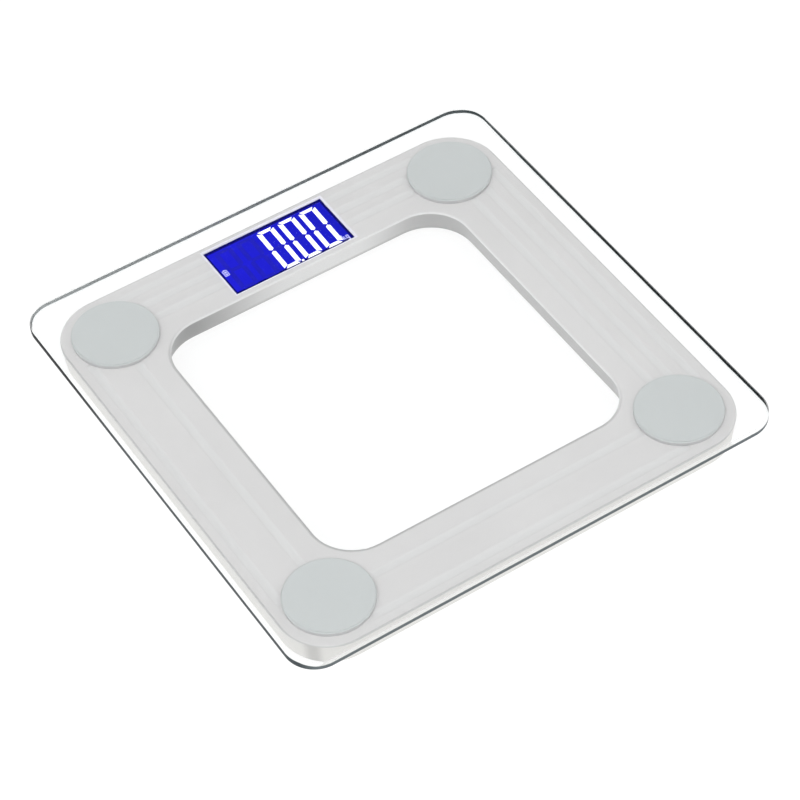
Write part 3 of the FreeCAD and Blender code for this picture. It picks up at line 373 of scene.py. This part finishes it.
def glass_edge():
    """The side of the plate: pale arrises and a dark core of painted reflection whose tone changes round
    the plate.
    """
    look = Look("platform_edge")
    x, y, z = look.split()
    half = GLASS_HIGH.x
    lean = look.math("SUBTRACT", look.math("ABSOLUTE", x), look.math("ABSOLUTE", y))
    sideways = look.span(lean, -6 * MM, 6 * MM)
    middle = (GLASS_LOW.z + GLASS_HIGH.z) / 2
    centre = look.span(sideways, 0.0, 1.0, middle - 0.75 * MM, middle - 0.15 * MM)
    off = look.math("ABSOLUTE", look.math("SUBTRACT", z, centre))
    waver = look.span(look.noise(14 * MM, 2.0), 0.3, 0.7, -0.05 * MM, 0.05 * MM)
    right_reach = look.span(y, 95 * MM, 140 * MM, 1.85 * MM, 1.30 * MM)
    left_reach = look.span(y, 20 * MM, 100 * MM, 2.05 * MM, 2.30 * MM)
    left_reach = look.math("MULTIPLY", left_reach, look.span(x, 0.0, -0.5 * half))
    flank_reach = look.math("MAXIMUM", left_reach, right_reach)
    end_reach = look.span(y, -0.5 * half, 0.5 * half, 1.55 * MM, 1.25 * MM)
    wider = look.math("MULTIPLY", look.math("SUBTRACT", flank_reach, end_reach), sideways)
    reach = look.math("ADD", wider, end_reach)
    depth = look.math("SUBTRACT", look.math("ADD", off, waver), reach)
    # The dark core band is a painted reflection: dark, barely clear and rough.
    band = look.span(depth, 0.15 * MM, -0.15 * MM, smooth=True)
    pale = look.mix(look.span(z, middle, GLASS_LOW.z), (0.98, 0.99, 0.99), (0.90, 0.925, 0.935))
    return finish_glass(
        look,
        Base_Color=look.mix(band, pale, painted_edge_reflection(look, x, y, sideways)),
        Transmission_Weight=look.span(band, 0.0, 1.0, 0.72, 0.06),
        Coat_Weight=look.span(band, 0.0, 1.0, SHEET_COAT, 0.1),
        Roughness=look.span(band, 0.0, 1.0, 0.03, 0.25),
    )


def grey_of(look, value):
    """A grey whose three channels are this value."""
    node = look.add("ShaderNodeCombineColor")
    for socket in node.inputs[:3]:
        look.join(value, socket)
    return node.outputs[0]


def lcd_face():
    """Blue backlit panel with a navy border and the light's uneven spread."""
    look = Look("lcd_glass")
    x, y, _ = look.split()
    spread = look.span(x, LCD_LOW.x, LCD_HIGH.x)
    blue = look.mix(spread, srgb(28, 28, 222), srgb(22, 25, 200))
    cloud = look.span(look.noise(14 * MM, 2.0), 0.3, 0.7, 0.94, 1.04)
    blue = look.mix(1.0, blue, grey_of(look, cloud), "MULTIPLY")
    inside = None
    window = (
        (x, DISPLAY_LEFT + 1.2 * MM, DISPLAY_RIGHT - 1.5 * MM),
        (y, DISPLAY_FRONT + 1.7 * MM, DISPLAY_BACK - 2.0 * MM),
    )
    for value, low, high in window:
        soft = 0.15 * MM
        band = look.math(
            "MULTIPLY",
            look.span(value, low - soft, low + soft),
            look.span(value, high + soft, high - soft),
        )
        inside = band if inside is None else look.math("MULTIPLY", inside, band)
    shown = look.mix(inside, srgb(0, 0, 104), blue)
    return look.surface(
        Base_Color=srgb(4, 4, 20),
        Roughness=look.span(look.noise(5 * MM), 0.3, 0.7, 0.12, 0.2),
        Specular_IOR_Level=0.2,
        Emission_Color=shown,
        Emission_Strength=1.0,
    )


def glowing(name, cloud, dim, bright, base, rough=0.3):
    """A lit face whose tone wanders between two colours, in clouds of about this size."""
    look = Look(name)
    shade = look.mix(look.span(look.noise(cloud), 0.3, 0.7), dim, bright)
    return look.surface(Base_Color=base, Roughness=rough, Emission_Color=shade, Emission_Strength=1.0)


def lit_figure():
    """The figures of the reading, near white."""
    return glowing("lcd_figures", 3 * MM, srgb(244, 246, 255), srgb(255), srgb(200))


def sign_figure():
    """The small signs, lit less strongly than the figures."""
    return glowing("lcd_signs", 2 * MM, srgb(176, 178, 244), srgb(206, 208, 252), srgb(120))


def ghost_figure():
    """Unlit figures, just darker than the panel."""
    return glowing("lcd_ghosts", 6 * MM, srgb(25, 26, 190), srgb(27, 27, 198), srgb(4, 4, 20), 0.2)


def coated_disc():
    """Satin grey coating with a very fine speckle, and painted shade down its side."""
    look = Look("disc_grey")
    _, _, z = look.split()
    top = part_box("mount_disc_front_left")[1].z
    fine = look.noise(0.25 * MM, 2.0)
    cloud = look.noise(18 * MM, 2.0)
    shade = look.mix(look.span(cloud, 0.3, 0.7), srgb(202, 206, 206), srgb(205, 209, 209))
    shade = look.mix(look.span(fine, 0.55, 0.8), shade, srgb(208, 212, 212))
    # Painted shade down the side of the disc.
    side = look.span(z, top - 0.25 * MM, top - 0.55 * MM, smooth=True)
    shade = look.mix(side, shade, srgb(200, 200, 201))
    gloss = look.span(fine, 0.3, 0.7, 0.45, 0.6)
    return look.surface(Base_Color=shade, Roughness=gloss, Normal=look.bump(fine, 0.004 * MM))


def soft_rubber():
    """Dark rubber with a fine matt skin and patches of pale dust."""
    look = Look("foot_rubber")
    fine = look.noise(0.4 * MM, 4.0, 0.65)
    dust = look.span(look.noise(7 * MM, 4.0), 0.55, 0.75)
    shade = look.mix(dust, srgb(52, 52, 54), srgb(78, 77, 76))
    return look.surface(
        Base_Color=shade,
        Roughness=look.span(fine, 0.3, 0.7, 0.75, 0.9),
        Normal=look.bump(fine, 0.03 * MM),
    )


def metal(name, colour, rough, stretch, relief=0.002 * MM):
    """Plated or brushed metal with fine drawn lines along its long way."""
    look = Look(name)
    lines = look.noise(0.6 * MM, 3.0, 0.6, look.stretched(stretch))
    stain = look.span(look.noise(4 * MM, 3.0), 0.45, 0.7)
    shade = look.mix(stain, colour, scaled(colour, 0.8))
    gloss = look.span(lines, 0.3, 0.7, rough - 0.07, rough + 0.07)
    normal = look.bump(lines, relief)
    return look.surface(Base_Color=shade, Metallic=1.0, Roughness=gloss, Normal=normal)


def board_mask():
    """Green solder mask over copper tracks, with bare pads showing through."""
    look = Look("board_green")
    brick = look.add("ShaderNodeTexBrick")
    look.join(look.where, brick.inputs["Vector"])
    brick.inputs["Scale"].default_value = 1.0 / (9 * MM)
    brick.inputs["Mortar Size"].default_value = 0.06
    brick.inputs["Color1"].default_value = (0, 0, 0, 1)
    brick.inputs["Color2"].default_value = (0, 0, 0, 1)
    brick.inputs["Mortar"].default_value = (1, 1, 1, 1)
    tracks = brick.outputs["Color"]
    pads = look.span(look.cells(3.2 * MM), 0.16, 0.12)
    shade = look.mix(tracks, srgb(18, 84, 44), srgb(34, 116, 62))
    shade = look.mix(pads, shade, srgb(196, 190, 176))
    gloss = look.span(pads, 0.0, 1.0, 0.28, 0.4)
    weave = look.noise(0.5 * MM, 2.0)
    return look.surface(Base_Color=shade, Roughness=gloss, Normal=look.bump(weave, 0.01 * MM))


def wire_cover():
    """PVC insulation: the wires of a lead lie one above another, each its own colour."""
    look = Look("wire_insulation")
    _, _, z = look.split()
    level = sum(v.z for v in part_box("cell_lead_front_left")) / 2
    pitch = 1.05 * MM
    low = look.span(z, level - 0.55 * pitch, level - 0.45 * pitch)
    high = look.span(z, level + 0.45 * pitch, level + 0.55 * pitch)
    shade = look.mix(low, srgb(30, 30, 32), srgb(205, 205, 200))
    shade = look.mix(high, shade, srgb(178, 30, 26))
    scuff = look.noise(1.5 * MM, 3.0)
    gloss = look.span(scuff, 0.3, 0.7, 0.35, 0.5)
    return look.surface(Base_Color=shade, Roughness=gloss, Normal=look.bump(scuff, 0.01 * MM))


def cell_jacket():
    """Plain battery jacket: dark body, a copper-coloured band at one end, no marks."""
    look = Look("cell_jacket")
    x, y, _ = look.split()
    middle = sum(v.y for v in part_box("battery_door")) / 2
    row = look.span(y, middle - 0.1 * MM, middle + 0.1 * MM, -1.0, 1.0)
    along = look.math("MULTIPLY", x, row)
    band = look.span(along, 9 * MM, 9.3 * MM)
    shade = look.mix(band, srgb(38, 40, 46), srgb(186, 122, 70))
    scratch = look.noise(0.5 * MM, 3.0, 0.6, look.stretched((0.2, 1.0, 1.0)))
    gloss = look.span(scratch, 0.3, 0.7, 0.22, 0.34)
    return look.surface(
        Base_Color=shade, Metallic=0.6, Roughness=gloss, Normal=look.bump(scratch, 0.003 * MM)
    )


def layered_strip():
    """Contact strip: thin dark conducting layers between pink silicone ones."""
    look = Look("strip_rubber")
    x, _, _ = look.split()
    pitch = 0.5 * MM
    wave = look.math("SINE", look.math("MULTIPLY", x, 2 * math.pi / pitch))
    layers = look.span(wave, -0.2, 0.2)
    shade = look.mix(layers, srgb(46, 40, 42), srgb(214, 150, 160))
    return look.surface(Base_Color=shade, Roughness=0.6, Normal=look.bump(layers, 0.02 * MM))


def make_materials():
    """One material for each of the record's slots."""
    return {
        "disc_grey": coated_disc(),
        "bond_clear": moulded("bond_clear", srgb(201, 205, 205), 0.3 * MM, 0.002 * MM, tone=0.01),
        "shell_silver": shell_plastic(),
        "base_plastic": moulded("base_plastic", srgb(214, 214, 211), 0.5 * MM, 0.02 * MM),
        "foot_plastic": moulded("foot_plastic", srgb(196, 196, 193), 0.4 * MM, 0.015 * MM),
        "foot_rubber": soft_rubber(),
        "seat_plastic": moulded("seat_plastic", srgb(222, 221, 217)),
        "cell_steel": metal("cell_steel", srgb(190, 190, 188), 0.34, (1.0, 0.08, 1.0)),
        "gauge_silicone": moulded("gauge_silicone", srgb(236, 236, 232), 1.2 * MM, 0.06 * MM),
        "lcd_glass": lcd_face(),
        "light_guide": moulded("light_guide", srgb(225, 230, 240), 0.8 * MM, 0.01 * MM),
        "strip_rubber": layered_strip(),
        "holder_plastic": moulded("holder_plastic", srgb(228, 228, 226)),
        "board_green": board_mask(),
        "chip_epoxy": moulded("chip_epoxy", srgb(28, 28, 30), 1.5 * MM, 0.03 * MM, (0.2, 0.35)),
        "component_ceramic": moulded("component_ceramic", srgb(168, 138, 104), 0.3 * MM),
        "plug_plastic": moulded("plug_plastic", srgb(232, 230, 220)),
        "switch_steel": metal("switch_steel", srgb(176, 176, 178), 0.3, (0.1, 1.0, 1.0)),
        "plunger_plastic": moulded("plunger_plastic", srgb(34, 34, 36)),
        "button_plastic": moulded("button_plastic", srgb(150, 152, 154), 0.3 * MM, 0.01 * MM),
        "cell_jacket": cell_jacket(),
        "contact_nickel": metal("contact_nickel", srgb(200, 196, 186), 0.25, (1.0, 1.0, 0.1)),
        "screw_steel": metal("screw_steel", srgb(178, 180, 182), 0.3, (1.0, 1.0, 0.2)),
        "wire_insulation": wire_cover(),
    }


def dress_nodes(looks):
    """Give each CAD node its slot's material."""
    for part in frame["record"]["subparts"]:
        if part["material_slot"] in looks:
            mesh = NODES[part["node"]].data
            mesh.materials.clear()
            mesh.materials.append(looks[part["material_slot"]])


# ---------------------------------------------------------------- glass platform


GLASS_ARRIS = 1.0 * MM
GLASS_CORNER = 18 * MM
GLASS_GAP = 0.05 * MM


def rounded_outline(half, radius, steps):
    """Points round a square with rounded corners, anticlockwise."""
    points = []
    for quarter in range(4):
        turn = quarter * math.pi / 2
        centre = Vector((half - radius, half - radius)).to_3d()
        centre.rotate(Quaternion((0, 0, 1), turn))
        for step in range(steps + 1):
            angle = turn + step / steps * math.pi / 2
            points.append((centre.x + radius * math.cos(angle), centre.y + radius * math.sin(angle)))
    return points


def make_glass():
    """The platform: flat faces, a flat polished side and small rounded arrises."""
    low, high = GLASS_LOW.z + GLASS_GAP, GLASS_HIGH.z
    half = GLASS_HIGH.x
    border, corner_steps, arris_steps = 3 * MM, 28, 8
    loops = [(border, high)]
    for step in range(arris_steps + 1):
        angle = step / arris_steps * math.pi / 2
        loops.append((GLASS_ARRIS * (1 - math.sin(angle)), high - GLASS_ARRIS * (1 - math.cos(angle))))
    for step in range(arris_steps + 1):
        angle = step / arris_steps * math.pi / 2
        loops.append((GLASS_ARRIS * (1 - math.cos(angle)), low + GLASS_ARRIS * (1 - math.sin(angle))))
    loops.append((border, low))
    work = bmesh.new()
    rings = []
    for inset, level in loops:
        outline = rounded_outline(half - inset, GLASS_CORNER - inset, corner_steps)
        rings.append([work.verts.new((x, y, level)) for x, y in outline])
    for index, (upper, lower) in enumerate(zip(rings, rings[1:])):
        for place in range(len(upper)):
            after = (place + 1) % len(upper)
            face = work.faces.new((upper[place], lower[place], lower[after], upper[after]))
            face.material_index = 1 if 0 < index < len(rings) - 2 else 0
            face.smooth = True
    for ring in (rings[0], list(reversed(rings[-1]))):
        work.faces.new(ring).smooth = True
    mesh = finish_mesh(work, "glass_plate")
    plate = put_in_scene("glass_plate", mesh)
    mesh.materials.append(glass_faces())
    mesh.materials.append(glass_edge())
    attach(plate, ROOT)
    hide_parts("glass_platform")


# ---------------------------------------------------------------- display figures

DIGIT_WIDTH = 11 * MM
DIGIT_HEIGHT = 33.4 * MM
DIGIT_PITCH = 14 * MM
DIGIT_FRONT = 101.1 * MM
FIRST_DIGIT = -6.5 * MM
SEGMENT_WIDTH = 2.75 * MM
LEVEL_WIDTH = 2.2 * MM
SEGMENT_GAP = 0.12 * MM
SPLIT_GAP = 0.35 * MM
CORNER_CUT = 0.9 * MM
DIGIT_LEAN = 0.6 / 34  # sideways over upwards
POINT_SIZE = 1.3 * MM
POINT_LEFT = 4.8 * MM
POINT_FRONT = DIGIT_FRONT - 0.2 * MM
FIGURE_THICKNESS = 0.06 * MM


def seven_segments(left, front):
    """The outlines of a digit's segments a to g, mitred at the corners."""
    wide, tall, stroke = DIGIT_WIDTH, DIGIT_HEIGHT, SEGMENT_WIDTH
    gap, round_off = SEGMENT_GAP, CORNER_CUT
    middle = tall / 2
    half = stroke / 2
    shoulder = middle + SPLIT_GAP + half * 0.8
    upright = [
        (0, tall - round_off - gap),
        (0, shoulder),
        (half, middle + SPLIT_GAP),
        (stroke, shoulder),
        (stroke, tall - LEVEL_WIDTH - gap),
    ]
    level = [
        (round_off + gap, tall),
        (wide - round_off - gap, tall),
        (wide - stroke - gap, tall - LEVEL_WIDTH),
        (stroke + gap, tall - LEVEL_WIDTH),
    ]
    bar = [
        (half + gap, middle),
        (stroke, middle + half),
        (wide - stroke, middle + half),
        (wide - half - gap, middle),
        (wide - stroke, middle - half),
        (stroke, middle - half),
    ]
    outlines = {
        "a": level,
        "f": upright,
        "b": [(wide - x, y) for x, y in upright],
        "d": [(x, tall - y) for x, y in level],
        "e": [(x, tall - y) for x, y in upright],
        "c": [(wide - x, tall - y) for x, y in upright],
        "g": bar,
    }
    return {name: [(left + x, front + y) for x, y in points] for name, points in outlines.items()}


def flat_piece(name, outlines, material, lean=True):
    """Thin closed plates on the panel's face, one for each outline."""
    base = LCD_HIGH.z + 0.01 * MM
    work = bmesh.new()
    for outline in outlines:
        layers = []
        for level in (base, base + FIGURE_THICKNESS):
            layer = []
            for x, y in outline:
                shift = (y - DIGIT_FRONT) * DIGIT_LEAN if lean else 0.0
                layer.append(work.verts.new((x + shift, y, level)))
            layers.append(layer)
        bottom, top = layers
        work.faces.new(top)
        work.faces.new(list(reversed(bottom)))
        for place in range(len(top)):
            after = (place + 1) % len(top)
            work.faces.new((bottom[place], bottom[after], top[after], top[place]))
    mesh = finish_mesh(work, name)
    piece = put_in_scene(name, mesh)
    mesh.materials.append(material)
    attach(piece, ROOT)


def block(x, y, width, height):
    """The outline of a rectangle from its front left corner."""
    return [(x, y), (x + width, y), (x + width, y + height), (x, y + height)]


def make_figures():
    """The reading 0.00, the unit, a small battery sign and the unlit figures."""
    lit, ghost, sign = lit_figure(), ghost_figure(), sign_figure()
    for number in range(3):
        segments = seven_segments(FIRST_DIGIT + number * DIGIT_PITCH, DIGIT_FRONT)
        strokes = [segments[name] for name in "abcdef"]
        flat_piece(f"display_digit_{number}", strokes, lit)
        flat_piece(f"display_ghost_bar_{number}", [segments["g"]], ghost)
    for number in (1, 2):
        segments = seven_segments(FIRST_DIGIT - number * DIGIT_PITCH, DIGIT_FRONT)
        flat_piece(f"display_ghost_{number}", list(segments.values()), ghost)
    point = block(POINT_LEFT, POINT_FRONT, POINT_SIZE, POINT_SIZE)
    flat_piece("display_point", [point], lit)
    make_unit(sign)
    make_battery_sign(sign)


def make_unit(material):
    """The unit kg in plain strokes."""
    left, front, stroke = 32.8 * MM, 101.6 * MM, 0.5 * MM
    tall, bowl = 4.2 * MM, 1.7 * MM
    k_right = left + 1.8 * MM
    outlines = [
        block(left, front, stroke, tall),
        [
            (left + stroke, front + 1.2 * MM),
            (left + stroke, front + 0.7 * MM),
            (k_right - 0.1 * MM, front + 2.6 * MM),
            (k_right - 0.6 * MM, front + 2.6 * MM),
        ],
        [
            (left + 0.7 * MM, front + 1.5 * MM),
            (k_right - 0.5 * MM, front),
            (k_right, front),
            (left + 1.1 * MM, front + 1.8 * MM),
        ],
    ]
    g_left = left + 2.3 * MM
    g_right = g_left + bowl
    outlines += [
        block(g_left, front + 2.2 * MM, bowl - stroke, stroke),
        block(g_left, front + 0.5 * MM, stroke, 1.7 * MM),
        block(g_left, front, bowl - stroke, stroke),
        block(g_right - stroke, front - 1.0 * MM, stroke, 3.7 * MM),
        block(g_left, front - 1.5 * MM, bowl, stroke),
    ]
    flat_piece("display_unit", outlines, material, lean=False)


def make_battery_sign(material):
    """A small battery outline with two bars."""
    left, front = -37.2 * MM, 115.4 * MM
    wide, tall, stroke = 3.0 * MM, 4.6 * MM, 0.4 * MM
    outlines = [
        block(left, front, wide, stroke),
        block(left, front + tall - stroke, wide, stroke),
        block(left, front + stroke, stroke, tall - 2 * stroke),
        block(left + wide - stroke, front + stroke, stroke, tall - 2 * stroke),
        block(left + 1.0 * MM, front + tall, 1.0 * MM, 0.5 * MM),
        block(left + 0.8 * MM, front + 0.8 * MM, 1.4 * MM, 1.1 * MM),
        block(left + 0.8 * MM, front + 2.4 * MM, 1.4 * MM, 1.1 * MM),
    ]
    flat_piece("display_battery_sign", outlines, material, lean=False)


# ---------------------------------------------------------------- studio

CAMERA_TARGET = Vector((-9.7, -22.3, 22.9)) * MM
CAMERA_DISTANCE = 1629.4 * MM
CAMERA_AZIMUTH = math.radians(-30.69)
CAMERA_ELEVATION = math.radians(48.61)
CAMERA_ROLL = math.radians(3.15)
CAMERA_LENS = 136.4
CAMERA_SENSOR = 36.0
CAMERA_REACH = 20.0


def make_camera():
    data = bpy.data.cameras.new("camera")
    data.lens = CAMERA_LENS
    data.sensor_width = CAMERA_SENSOR
    data.clip_end = CAMERA_REACH
    camera = put_in_scene("camera", data)
    flat = math.cos(CAMERA_ELEVATION)
    back = Vector(
        (
            math.sin(CAMERA_AZIMUTH) * flat,
            -math.cos(CAMERA_AZIMUTH) * flat,
            math.sin(CAMERA_ELEVATION),
        )
    )
    camera.location = CAMERA_TARGET + back * CAMERA_DISTANCE
    camera.rotation_mode = "QUATERNION"
    camera.rotation_quaternion = turned_towards(-back) @ Quaternion((0, 0, 1), -CAMERA_ROLL)
    bpy.context.scene.camera = camera


FLOOR_REACH = 6.0
FLOOR_LEVEL = -0.2 * MM
FLOOR_GLOW = 0.88
FLOOR_TONES = (124, 128)
FLOOR_CLOUD = 0.4
LAMP_PLACE = (-0.7, -0.6, 1.9)
LAMP_SIZE = 2.2
LAMP_POWER = 8.0
SURROUND_LIGHT = 1.0
CARD_LIGHT = 0.05
CARD_DIRECTION = (0.337, 0.569, 0.750)
CARD_RADIUS = math.radians(17)
CARD_SOFTNESS = math.radians(12)


def make_floor():
    """A pale, even floor."""
    mesh = bpy.data.meshes.new("studio_floor")
    turns = ((-1, -1), (1, -1), (1, 1), (-1, 1))
    corners = [(x * FLOOR_REACH, y * FLOOR_REACH, FLOOR_LEVEL) for x, y in turns]
    mesh.from_pydata(corners, [], [(0, 1, 2, 3)])
    floor = put_in_scene("studio_floor", mesh)
    look = Look("studio_floor")
    cloud = look.span(look.noise(FLOOR_CLOUD), 0.3, 0.7)
    shade = look.mix(cloud, *(srgb(tone) for tone in FLOOR_TONES))
    mesh.materials.append(
        look.surface(
            Base_Color=shade,
            Roughness=0.9,
            Specular_IOR_Level=0.0,
            Emission_Color=(1.0, 1.0, 1.0),
            Emission_Strength=FLOOR_GLOW,
        )
    )


def make_lights():
    """A soft overhead box, and a white surround with a dark card where the glass mirrors it."""
    scene = bpy.context.scene
    data = bpy.data.lights.new("overhead_box", "AREA")
    data.shape = "SQUARE"
    data.size = LAMP_SIZE
    data.energy = LAMP_POWER
    lamp = put_in_scene("overhead_box", data)
    lamp.location = LAMP_PLACE
    lamp.rotation_mode = "QUATERNION"
    lamp.rotation_quaternion = turned_towards(-lamp.location)
    lamp.visible_glossy = False
    world = bpy.data.worlds.new("studio")
    world.use_nodes = True
    tree = world.node_tree
    tree.nodes.clear()
    output = tree.nodes.new("ShaderNodeOutputWorld")
    sky = tree.nodes.new("ShaderNodeBackground")
    coordinates = tree.nodes.new("ShaderNodeTexCoord")
    towards = tree.nodes.new("ShaderNodeVectorMath")
    towards.operation = "DOT_PRODUCT"
    towards.inputs[1].default_value = CARD_DIRECTION
    edge = tree.nodes.new("ShaderNodeMapRange")
    edge.interpolation_type = "SMOOTHSTEP"
    for name, number in (
        ("From Min", math.cos(CARD_RADIUS + CARD_SOFTNESS)),
        ("From Max", math.cos(CARD_RADIUS)),
        ("To Min", SURROUND_LIGHT),
        ("To Max", CARD_LIGHT),
    ):
        edge.inputs[name].default_value = number
    sky.inputs["Color"].default_value = (1.0, 1.0, 1.0, 1.0)
    tree.links.new(coordinates.outputs["Generated"], towards.inputs[0])
    tree.links.new(towards.outputs["Value"], edge.inputs["Value"])
    tree.links.new(edge.outputs["Result"], sky.inputs["Strength"])
    tree.links.new(sky.outputs[0], output.inputs["Surface"])
    scene.world = world
    scene.view_settings.view_transform = "Standard"


# ---------------------------------------------------------------- build

make_camera()
make_floor()
make_lights()
dress_nodes(make_materials())
make_glass()
make_figures()
